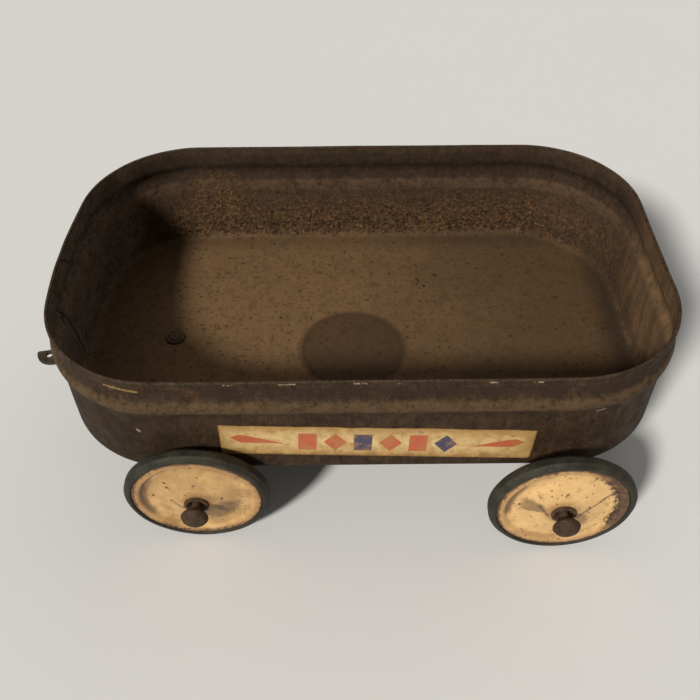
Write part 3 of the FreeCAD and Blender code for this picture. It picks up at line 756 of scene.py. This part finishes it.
def rivet_finish():
    """The rivet's head: floor dust on top, painted shade in the groove and round its foot."""
    look = Look("rivet_steel", JOINTS["tongue_swivel"]["pos_m"])
    blotch = look.cloud(2.2 * MM, 3.0, 0.7)
    radius = look.away(look.x, look.y)
    ragged = radius + (blotch - 0.5) * 1.2 * MM
    groove = ramp(ragged, 3.1 * MM, 3.9 * MM) * ramp(ragged, 5.2 * MM, 4.4 * MM)
    foot = ramp(radius + (blotch - 0.5) * 0.6 * MM, 5.7 * MM, 6.3 * MM)
    dimple = ramp(ragged, 1.2 * MM, 0.4 * MM)
    # painted shade in the ring groove, the dimple and round the foot
    dark = most(groove * 0.4, foot * 0.7, dimple * 0.55)
    top = look.mix(ramp(blotch, 0.36, 0.66), RIVET_DEEP, RIVET_DUST)
    relief = blotch * 0.6 - dark * 0.5
    return look.finish(look.mix(dark, top, PIT), 0.88, relief, lift=0.3 * MM, shine=0.25)


OUTSIDE = outside_finish()
INSIDE = Inside().whole()
TYRE = tyre_finish()
BRACKET = iron_finish("bracket_steel", (0.014, 0.0085, 0.005), (0.05, 0.028, 0.0145), size=9 * MM)
ROD = iron_finish("rod_steel", (0.026, 0.015, 0.0085), (0.1, 0.058, 0.03), 0.15)
HUB = iron_finish("hub_steel", (0.026, 0.014, 0.0075), (0.1, 0.053, 0.025), 0.1, 3 * MM)
CAP = iron_finish("cap_steel", (0.022, 0.0105, 0.0045), (0.058, 0.0315, 0.0135), 0.2, 4 * MM)
TONGUE = iron_finish("tongue_steel", (0.019, 0.0125, 0.0078), (0.066, 0.044, 0.027), 0.1, 6 * MM)
RIVET = rivet_finish()


# ---------------------------------------------------------------- pan

FLOOR_RINGS = 30


def pan_plan(step=2.4 * MM):
    """Points and outward directions round the pan's plan."""
    corners = [
        (REAR_X, 0),
        (REAR_X, HALF_WIDTH, PAN_CORNER),
        (FRONT_X, HALF_WIDTH, PAN_CORNER),
        (FRONT_X - FRONT_BOW, 0, FRONT_BOW_RADIUS),
        (FRONT_X, -HALF_WIDTH, PAN_CORNER),
        (REAR_X, -HALF_WIDTH, PAN_CORNER),
    ]
    points = rounded(corners, step)
    outward = []
    for i, point in enumerate(points):
        along = points[(i + 1) % len(points)] - points[i - 1]
        outward.append(Vector((along.y, -along.x)).normalized())
    return points, outward


def pan_section():
    """(offset from the wall, height): up the outside from under the floor, down the inside."""
    hem_low = PAN_DEPTH - HEM_HEIGHT
    bead_top = PAN_DEPTH - BEAD_DROP
    bead_low = bead_top - BEAD_HEIGHT
    hollow = BEAD_BULGE - PAN_SHEET
    crevice = 0.15 * MM
    wide, tight = 9 * MM, 6.5 * MM      # the bead's rounds
    corners = [
        (-2 * PAN_BEND, 0),
        (0, 0, PAN_BEND),
        (0, bead_low, wide),
        (BEAD_BULGE, bead_low + BEAD_SLOPE, tight),
        (BEAD_BULGE, bead_top - BEAD_SLOPE, tight),
        (0, bead_top, wide),
        (0, hem_low + 1.4 * MM),
        (crevice, hem_low + 1.4 * MM),
        (crevice, hem_low, 0.05 * MM),
        (HEM_FOLD, hem_low, 0.5 * MM),
        (HEM_FOLD, PAN_DEPTH, 0.95 * MM),
        (-PAN_SHEET, PAN_DEPTH, 0.95 * MM),
        (-PAN_SHEET, bead_top, wide),
        (hollow, bead_top - BEAD_SLOPE, tight),
        (hollow, bead_low + BEAD_SLOPE, tight),
        (-PAN_SHEET, bead_low, wide),
        (-PAN_SHEET, PAN_SHEET, PAN_BEND - PAN_SHEET),
        (-2 * PAN_BEND, PAN_SHEET),
    ]
    line = rounded(corners, 3.2 * MM)
    ends = [i for i, p in enumerate(line) if abs(p.x + 2 * PAN_BEND) < 1e-7]
    top_end = max(ends, key=lambda i: line[i].y)
    return line[: top_end + 1]


def wall_wave(x, y, z):
    """How far the wall leans out of true at a place, more towards the rim."""
    share = min(1.0, max(0.0, (z - FLOOR_TOP) / PAN_DEPTH))
    slow = wave((x, y, 0), 95 * MM, 0.9 * MM, 3.0) * share
    quick = wave((x, y, z), 21 * MM, 0.22 * MM, 7.0) * min(1.0, share * 4)
    return slow + quick


def build_pan():
    plan, outward = pan_plan()
    section = pan_section()
    inner_from = next(i for i, p in enumerate(section)
                      if p.x < 0.01 * MM - PAN_SHEET and p.y > PAN_DEPTH / 2)
    columns, rows = len(plan), len(section)
    points, faces, finishes = [], [], []
    for spot, out in zip(plan, outward):
        for offset, height in section:
            z = FLOOR_LOW + height
            lean = wall_wave(spot.x, spot.y, z)
            at = spot + out * (offset + lean)
            rim = max(0.0, height / PAN_DEPTH - 0.8) * 5
            points.append((at.x, at.y, z + wave((at.x, at.y, 0), 60 * MM, 0.45 * MM, 11.0) * rim))
    for c in range(columns):
        nxt = (c + 1) % columns
        for r in range(rows - 1):
            faces.append((c * rows + r, nxt * rows + r, nxt * rows + r + 1, c * rows + r + 1))
            finishes.append(1 if r >= inner_from else 0)

    half_spine = (REAR_X - FRONT_X) / 2 - HALF_WIDTH
    for row, finish in ((0, 0), (rows - 1, 1)):
        last = [c * rows + row for c in range(columns)]
        edge = [Vector(points[i]) for i in last]
        for ring in range(1, FLOOR_RINGS + 1):
            share = ring / FLOOR_RINGS
            here = []
            for spot in edge:
                middle = PAN_X + max(-half_spine, min(half_spine, spot.x - PAN_X))
                at = spot.lerp(Vector((middle, 0, spot.z)), share)
                if finish:
                    at.z += wave((at.x, at.y, 0), 70 * MM, 0.35 * MM, 5.0) * min(1, share * 3)
                here.append(len(points))
                points.append(tuple(at))
            for c in range(columns):
                nxt = (c + 1) % columns
                faces.append((last[c], last[nxt], here[nxt], here[c]))
                finishes.append(finish)
            last = here
    mesh = new_mesh("pan_body", points, faces)
    mesh.materials.append(OUTSIDE)
    mesh.materials.append(INSIDE)
    mesh.polygons.foreach_set("material_index", finishes)
    show("pan_body", tidy(mesh), "chassis", "pan_steel", "pan")


# ---------------------------------------------------------------- wheels

TYRE_RADIUS = 41.5 * MM
TYRE_HALF = 4.5 * MM
DISC_RADIUS = 37.1 * MM
DISC_SHEET = 0.9 * MM
RING_FACE = 4.0 * MM            # from the wheel's middle plane
HUB_FACE = 6.6 * MM
HUB_BORE = 3.5 * MM
HUB_SPIGOT = 4.7 * MM


def wheel_place(end, side, facing=1):
    """From a piece's own frame, +Z its outer face, to its wheel on the leaning axis."""
    joint = JOINTS[f"wheel_{end}_{side}_spin"]
    outward = Vector(joint["axis"]) * SIDES[side] * facing
    turn = Vector((0, 0, 1)).rotation_difference(outward).to_matrix().to_4x4()
    return Matrix.Translation(Vector(joint["pos_m"])) @ turn


def disc_section():
    """Half of one pressed disc: edge flange, flat ring, valley, cone and hub flat."""
    low = RING_FACE - 1.8 * MM
    return [
        (HUB_SPIGOT, HUB_FACE),
        (8.4 * MM, HUB_FACE, 6 * MM),
        (25.0 * MM, low, 12 * MM),
        (30.8 * MM, low, 1.2 * MM),
        (33.0 * MM, RING_FACE, 1.4 * MM),
        (DISC_RADIUS - 0.5 * MM, RING_FACE, 0.6 * MM),
        (DISC_RADIUS - 0.1 * MM, RING_FACE - 1.0 * MM, 0.5 * MM),
        (DISC_RADIUS - 0.1 * MM, 0.02 * MM),
        (DISC_RADIUS - DISC_SHEET, 0.02 * MM),
        (DISC_RADIUS - DISC_SHEET, RING_FACE - DISC_SHEET, 0.4 * MM),
        (33.0 * MM, RING_FACE - DISC_SHEET, 1.2 * MM),
        (30.8 * MM, low - DISC_SHEET, 1.4 * MM),
        (25.0 * MM, low - DISC_SHEET, 12 * MM),
        (8.4 * MM, HUB_FACE - DISC_SHEET, 6 * MM),
        (HUB_SPIGOT, HUB_FACE - DISC_SHEET),
    ]


def tyre_section():
    """A solid rubber ring: mould ridge at each shoulder, and a soft lip over the disc's edge."""
    bed = DISC_RADIUS
    corners = [(bed, -TYRE_HALF + 0.6 * MM, 0.3 * MM)]
    for way in (-1, 1):
        side = [
            (bed + 0.5 * MM, way * TYRE_HALF, 0.5 * MM),
            (bed + 1.6 * MM, way * TYRE_HALF, 1.0 * MM),
            (bed + 2.9 * MM, way * (TYRE_HALF - 0.75 * MM), 0.6 * MM),
            (bed + 2.9 * MM, way * (TYRE_HALF - 1.15 * MM), 0.15 * MM),
            (TYRE_RADIUS, way * (TYRE_HALF - 2.4 * MM), 1.4 * MM),
        ]
        corners += side if way < 0 else side[::-1]
    return corners + [(bed, TYRE_HALF - 0.6 * MM, 0.3 * MM)]


def hub_section():
    shoulder, collar, mouth = 6.0 * MM, 7.1 * MM, 5.3 * MM
    top = HUB_FACE + 1.8 * MM
    return [
        (HUB_BORE, -12 * MM),
        (shoulder, -12 * MM, 0.5 * MM),
        (shoulder, -HUB_FACE),
        (HUB_SPIGOT, -HUB_FACE),
        (HUB_SPIGOT, HUB_FACE),
        (collar, HUB_FACE, 0.4 * MM),
        (collar, top, 0.8 * MM),
        (mouth, top, 0.4 * MM),
        (HUB_BORE, top - 2.6 * MM),
    ]


def cap_section():
    rod, outer, top, blind = 2.6 * MM, 7.9 * MM, 5.0 * MM, 3.4 * MM
    return [
        (0, blind),
        (rod, blind),
        (rod, 0),
        (outer - 0.8 * MM, 0, 0.3 * MM),
        (outer, 1.4 * MM, 0.9 * MM),
        (outer - 1.6 * MM, 4.0 * MM, 2.6 * MM),
        (outer - 5.5 * MM, top, 5.0 * MM),
        (0, top),
    ]


# Wear of each wheel's paint: how yellow it is, how thick its brown film, where the edge is bare and
# how deep the bare patch reaches in, where the valley is grimy and painted dark as shade, and where
# the smudge beside the hub is, on the front left wheel also a painted shadow of the cap. Angles are in
# degrees about the centre, seen from the left side, 0 towards the rear and 90 up. Creases are lines
# from (x, z) to (x, z) in mm from the centre, painted dark as dirt and shade.
WHEEL_WEAR = {
    ("front", "left"): {
        "yellow": 0.95, "film": 0.3, "bare": (-150, -35, 1.2 * MM), "grime": (130, 225),
        "smudge_and_shadow": (-45, 0),
        "creases": [((-14, 1), (-8.5, -4))],
    },
    ("rear", "left"): {
        "yellow": 0.3, "film": 0.0, "bare": (-52, 78, 5.8 * MM), "grime": (128, 200),
        "smudge_and_shadow": (150, 190),
        "creases": [((-13.5, 4.2), (-8.5, -2)), ((8.5, -4), (18, 3.5)), ((18, 3.5), (27.5, 12.5))],
    },
    ("front", "right"): {
        "yellow": 0.5, "film": 0.1, "bare": (100, 190, 3.0 * MM), "grime": (-40, 30),
        "smudge_and_shadow": (60, 100),
        "creases": [],
    },
    ("rear", "right"): {
        "yellow": 0.6, "film": 0.15, "bare": (-80, 10, 4.0 * MM), "grime": (90, 160),
        "smudge_and_shadow": (200, 240),
        "creases": [],
    },
}


def build_wheel(end, side, seed):
    name = f"wheel_{end}_{side}"
    centre = JOINTS[name + "_spin"]["pos_m"]
    paint = disc_finish(name + "_paint", centre, seed * 10, WHEEL_WEAR[end, side])
    outer = wheel_place(end, side)
    inner = wheel_place(end, side, facing=-1)
    for position, place in (("outer", outer), ("inner", inner)):
        mesh = turned(f"{name}_{position}_disc_skin", disc_section(), paint, place,
                      dent=0.22 * MM, seed=seed + len(position), facets=144)
        show(mesh.name, mesh, name, "disc_paint", f"{name}_{position}_disc")
    tyre = turned(f"{name}_tyre_skin", tyre_section(), TYRE, outer, 0.9 * MM, 160, 0.12 * MM,
                  seed + 20, 12 * MM)
    show(tyre.name, tyre, name, "tyre_rubber", f"{name}_tyre")
    hub = turned(f"{name}_hub_skin", hub_section(), HUB, outer, 0.8 * MM, 64, 0.08 * MM,
                 seed + 30, 5 * MM)
    show(hub.name, hub, name, "bare_steel", f"{name}_hub")


def build_cap(end, side, seed):
    node = f"{end}_axle_cap_{side}"
    low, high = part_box(node)
    middle = (low + high) / 2
    foot = Vector((middle.x, low.y if side == "right" else high.y, middle.z))
    turn = Matrix.Rotation(-math.pi / 2 * SIDES[side], 4, "X")
    mesh = turned(node + "_skin", cap_section(), CAP, Matrix.Translation(foot) @ turn, 0.7 * MM,
                  72, 0.16 * MM, seed + 40, 6 * MM)
    show(mesh.name, mesh, f"{end}_axle", "bare_steel", node)


# ---------------------------------------------------------------- labels

LABEL_TILT = math.radians(2.4)
LABEL_SHEET = 0.18 * MM
LABEL_OUT = 0.22 * MM           # its outer face from the wall
SHAPE_COUNT = 6
RED = (0.4, 0.062, 0.03)
NAVY = (0.016, 0.022, 0.08)
PAPER = (0.56, 0.405, 0.185)
PAPER_DEEP = (0.42, 0.255, 0.085)
EDGE_STAIN = (0.25, 0.125, 0.029)
TIDE = (0.33, 0.18, 0.05)
BLOT = (0.3, 0.165, 0.05)
FOOT_STAIN = (0.16, 0.075, 0.02)
DIRT = (0.12, 0.06, 0.022)
TORN_EDGE = (0.13, 0.065, 0.02)


def label_print(look, u, v, size, fray):
    """The masks of the red and of the navy print: plain shapes in a row, a dart at each end."""
    long, tall = size
    pitch, half = long / 11.4, tall * 0.3
    red, navy = [], []
    for k in range(SHAPE_COUNT):
        middle = (k - (SHAPE_COUNT - 1) / 2) * pitch - 0.5 * MM
        across = abs(u - middle) + fray
        up = abs(v + 0.5 * MM) + fray
        if k % 2:
            shape = ramp(across / (pitch * 0.42) + up / half, 1.02, 0.97)
        else:
            far = most(across - pitch * 0.33, up - half * 0.92)
            shape = ramp(far, 0.15 * MM, -0.1 * MM)
        (navy if k in (2, 5) else red).append(shape)
    for way in (-1, 1):
        along = u * way - long * 0.385
        width = ramp(along, -20 * MM, 10 * MM) * 3.4 * MM * ramp(along, 15 * MM, 8 * MM)
        up = abs(v - along * 0.16) + fray * 0.6
        red.append(ramp(up - width, 0.1 * MM, -0.2 * MM) * ramp(width, 0.1 * MM, 0.3 * MM))
    return most(*red), most(*navy)


def label_finish(side, centre, tilt, size):
    """Yellowed paper, browned along its edges and its foot, with a red and navy print."""
    look = Look(f"label_print_{side}", centre)
    long, tall = size
    turn = {"Vector": look.where, "Rotation": (0, -tilt, 0)}
    level = look.add("ShaderNodeMapping", None, turn)
    flat = look.add("ShaderNodeSeparateXYZ", None, {"Vector": level})
    u, v = flat, flat.out("Z")
    grain = look.cloud(1.2 * MM, 3.0, 0.75)
    mottle = look.cloud(11 * MM, 5.0, 0.65)
    fray = (look.cloud(2.0 * MM, 3.0) - 0.5) * 0.5 * MM
    red, navy = label_print(look, u, v, size, fray)
    worn = ramp(grain * 0.5 + mottle * 0.5, 0.74, 0.64)
    edge = look.sum("MINIMUM", long / 2 - abs(u), tall / 2 - abs(v))
    stained = ramp(edge + (mottle - 0.5) * 30 * MM + (grain - 0.5) * 4 * MM, 9 * MM, -0.5 * MM)
    foot = ramp(v + tall / 2 + (mottle - 0.5) * 14 * MM, 4.5 * MM, -1 * MM)
    dirt = most(look.specks(3.4 * MM, 0.9 * MM, 0.5), look.specks(6 * MM, 2.0 * MM, 0.5) * 0.6)
    rim = ramp(edge + (grain - 0.5) * 2 * MM, 1.3 * MM, 0.2 * MM)
    colour = look.coats(
        look.mix(ramp(mottle, 0.38, 0.68) * 0.6, PAPER, PAPER_DEEP),
        (red * worn * 0.9, RED),
        (navy * worn * 0.93, NAVY),
        (stained * 0.8, EDGE_STAIN),
        (look.patches(13 * MM, 0.47, 0.57, 5.0) * 0.4, TIDE),
        (look.patches(5 * MM, 0.53, 0.6, 5.0, seed=3.0) * 0.4, BLOT),
        (foot * 0.6, FOOT_STAIN),
        (dirt * 0.55, DIRT),
        (rim * 0.7, TORN_EDGE),
    )
    relief = grain * 0.3 + mottle * 0.6
    return look.finish(colour, 0.6 + stained * 0.2, relief, lift=0.25 * MM, shine=0.35)


def build_label(side):
    """A thin sheet of paper that follows the wall, its edges torn and a little lifted."""
    node = f"label_{side}"
    low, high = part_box(node)
    plain_low, plain_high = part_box("label_right")
    long, tall = plain_high.x - plain_low.x, plain_high.z - plain_low.z
    tilt = LABEL_TILT if side == "left" else 0.0
    centre = (low + high) / 2
    out = SIDES[side]
    columns, rows = 150, 26
    points, faces = [], []
    for i in range(columns + 1):
        for j in range(rows + 1):
            u = (i / columns - 0.5) * long
            v = (j / rows - 0.5) * tall
            border = min(i, columns - i, 3 * j, 3 * (rows - j))
            torn = max(0.0, 1 - border / 6)
            bite = 0.5 + noise.noise(Vector((u, v, out * 0.01)) / (2.2 * MM))
            chew = 0.5 + noise.noise(Vector((u, v, out * 0.03)) / (9 * MM))
            pull = 1 - torn * (0.008 * bite + 0.012 * chew)
            u, v = u * (1 - (1 - pull) * 0.5), v * (1 - (1 - pull) * 2.6)
            x = centre.x + u * math.cos(tilt) + v * math.sin(tilt)
            z = centre.z + v * math.cos(tilt) - u * math.sin(tilt)
            lift = LABEL_OUT + 0.3 * MM * torn * max(0.0, chew - 0.45)
            y = out * (HALF_WIDTH + lift + wall_wave(x, out * HALF_WIDTH, z))
            points.append((x, y, z))
    for i in range(columns):
        for j in range(rows):
            a, b = i * (rows + 1) + j, (i + 1) * (rows + 1) + j
            faces.append((a, b, b + 1, a + 1) if side == "left" else (a, a + 1, b + 1, b))
    mesh = new_mesh(node + "_paper", points, faces)
    mesh.materials.append(label_finish(side, tuple(centre), tilt, (long, tall)))
    mesh.shade_smooth()
    piece = show(node + "_paper", mesh, "chassis", "label_paper", node)
    thick = piece.modifiers.new("thickness", "SOLIDIFY")
    thick.thickness = LABEL_SHEET
    thick.offset = -1.0


# ---------------------------------------------------------------- tongue and small steel

TONGUE_REACH = 89 * MM          # from the rivet to the tip
TONGUE_TAIL = 8 * MM
TONGUE_HALF = 6.25 * MM
TONGUE_SWING = math.radians(10.5)
TONGUE_BORE = 3.15 * MM
EYE_SPOT = (-81.2 * MM, 1.8 * MM)
EYE_RADIUS = 2.0 * MM
EDGE_WEAR = 0.35 * MM


def build_tongue():
    """The flat strip with its eye and its bore, all edges worn round."""
    tip, tail, half = -TONGUE_REACH, TONGUE_TAIL, TONGUE_HALF
    strip = rounded([(tip, -half, 10 * MM), (tail, -half, 5 * MM), (tail, half, 5 * MM),
                     (tip, half, 1.5 * MM)], 4 * MM)
    holes = [((0, 0), TONGUE_BORE), (EYE_SPOT, EYE_RADIUS)]
    low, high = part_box("tongue")
    curve = bpy.data.curves.new("tongue_strip", "CURVE")
    curve.dimensions = "2D"
    curve.fill_mode = "BOTH"
    curve.extrude = (high.z - low.z) / 2 - EDGE_WEAR
    curve.bevel_depth = EDGE_WEAR
    curve.bevel_resolution = 2
    curve.offset = -EDGE_WEAR
    rings = [[(x + r * math.cos(math.tau * k / 32), y + r * math.sin(math.tau * k / 32))
              for k in range(32)] for (x, y), r in holes]
    for ring in [strip, *rings]:
        line = curve.splines.new("POLY")
        line.points.add(len(ring) - 1)
        for point, spot in zip(line.points, ring):
            point.co = (spot[0], spot[1], 0, 1)
        line.use_cyclic_u = True
    holder = new_object("tongue_strip", curve)
    mesh = evaluated_mesh(holder)
    bpy.data.objects.remove(holder)
    pivot = Vector(JOINTS["tongue_swivel"]["pos_m"])
    pivot.z = (low.z + high.z) / 2
    mesh.transform(Matrix.Translation(pivot) @ Matrix.Rotation(TONGUE_SWING, 4, "Z"))
    mesh.materials.clear()
    mesh.materials.append(TONGUE)
    mesh.name = "tongue_strip"
    show("tongue_strip", tidy(mesh), "tongue", "bare_steel", "tongue")


def build_rivet():
    """Head with a ring groove and a dimple, shank, and the tail spread under the washer."""
    low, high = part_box("tongue_rivet")
    crown = high.z - low.z
    seat = crown - 2.0 * MM
    head, shank, tail = (high.x - low.x) / 2, 3 * MM, 5.0 * MM
    tail_top = 1.6 * MM
    section = [
        (0, 0),
        (tail - 0.1 * MM, 0, 1.2 * MM),
        (tail, tail_top, 0.3 * MM),
        (shank, tail_top),
        (shank, seat),
        (head, seat, 0.1 * MM),
        (head, seat + 0.7 * MM, 0.4 * MM),
        (5.2 * MM, crown - 0.2 * MM, 0.8 * MM),
        (4.3 * MM, crown - 0.75 * MM, 0.4 * MM),
        (3.6 * MM, crown - 0.1 * MM, 0.6 * MM),
        (1.6 * MM, crown, 1.0 * MM),
        (0, crown - 0.5 * MM),
    ]
    spot = Vector(((low.x + high.x) / 2, (low.y + high.y) / 2, low.z))
    mesh = turned("rivet_skin", section, RIVET, Matrix.Translation(spot), 0.6 * MM, 64, 0.1 * MM,
                  60.0, 4 * MM)
    show(mesh.name, mesh, "chassis", "bare_steel", "tongue_rivet")


def dress_small_steel():
    """The pieces that keep their CAD shape get their finish."""
    finishes = {"tongue_washer": ROD}
    for end in ENDS:
        finishes[f"{end}_axle_bracket"] = BRACKET
        finishes[f"{end}_axle_rod"] = ROD
        for side in SIDES:
            finishes[f"{end}_axle_washer_{side}"] = ROD
    for node, finish in finishes.items():
        mesh = frame["nodes"][node].data
        mesh.materials.clear()
        mesh.materials.append(finish)


build_pan()
for number, (end, side) in enumerate((e, s) for e in ENDS for s in SIDES):
    build_wheel(end, side, number + 1.0)
    build_cap(end, side, number + 1.0)
for side in SIDES:
    build_label(side)
build_tongue()
build_rivet()
dress_small_steel()


# ---------------------------------------------------------------- stage, light and camera

def build_stage():
    half = 4        # metres
    corners = [(-half, -half, 0), (half, -half, 0), (half, half, 0), (-half, half, 0)]
    mesh = new_mesh("studio_floor", corners, [(0, 1, 2, 3)])
    floor = new_object("studio_floor", mesh)
    look = Look("studio_floor")
    grey = look.mix(look.cloud(0.4, 2.0) * 0.1, (0.68, 0.69, 0.7), (0.56, 0.57, 0.58))
    mesh.materials.append(look.finish(grey, 0.75))


def add_sun(name, energy, spread, colour, toward):
    """A sun that stands in this direction, its disc this many degrees across."""
    sun = new_object(name, bpy.data.lights.new(name, "SUN"))
    sun.data.energy = energy
    sun.data.angle = math.radians(spread)
    sun.data.color = colour
    sun.rotation_euler = Vector(toward).to_track_quat("Z", "Y").to_euler()


def build_light():
    """A soft key from the front left, a broad weak fill from behind, and an even pale surround."""
    pale = (1.0, 0.96, 0.9)
    add_sun("key", 3.75, 8, (1.0, 0.95, 0.87), (-0.442, -0.667, 0.599))
    add_sun("fill", 0.45, 70, pale, (0.35, 0.7, 0.62))
    world = bpy.data.worlds.new("surround")
    world.use_nodes = True
    back = world.node_tree.nodes["Background"]
    back.inputs["Color"].default_value = (*pale, 1.0)
    back.inputs["Strength"].default_value = 0.2
    bpy.context.scene.world = world


def build_camera():
    """The eye stands off the left side and looks down on the pan, rolled by half a degree."""
    pitch, yaw, roll = math.radians(46.14), math.radians(-0.0567), math.radians(0.595)
    ahead = Vector((math.sin(yaw) * math.cos(pitch), math.cos(yaw) * math.cos(pitch),
                    -math.sin(pitch)))
    right = Vector((math.cos(yaw), -math.sin(yaw), 0))
    down = ahead.cross(right)
    tilted_right = right * math.cos(roll) + down * math.sin(roll)
    tilted_down = down * math.cos(roll) - right * math.sin(roll)
    lens = bpy.data.cameras.new("eye")
    lens.sensor_width = 36      # mm
    lens.lens = 42.6            # mm
    eye = new_object("eye", lens)
    turn = Matrix((tilted_right, -tilted_down, -ahead)).transposed().to_4x4()
    stand = Vector((PAN_X - 9.80 * MM, -385.36 * MM, 439.73 * MM))
    eye.matrix_world = Matrix.Translation(stand) @ turn
    bpy.context.scene.camera = eye


build_stage()
build_light()
build_camera()
bpy.context.scene.view_settings.view_transform = "Standard"
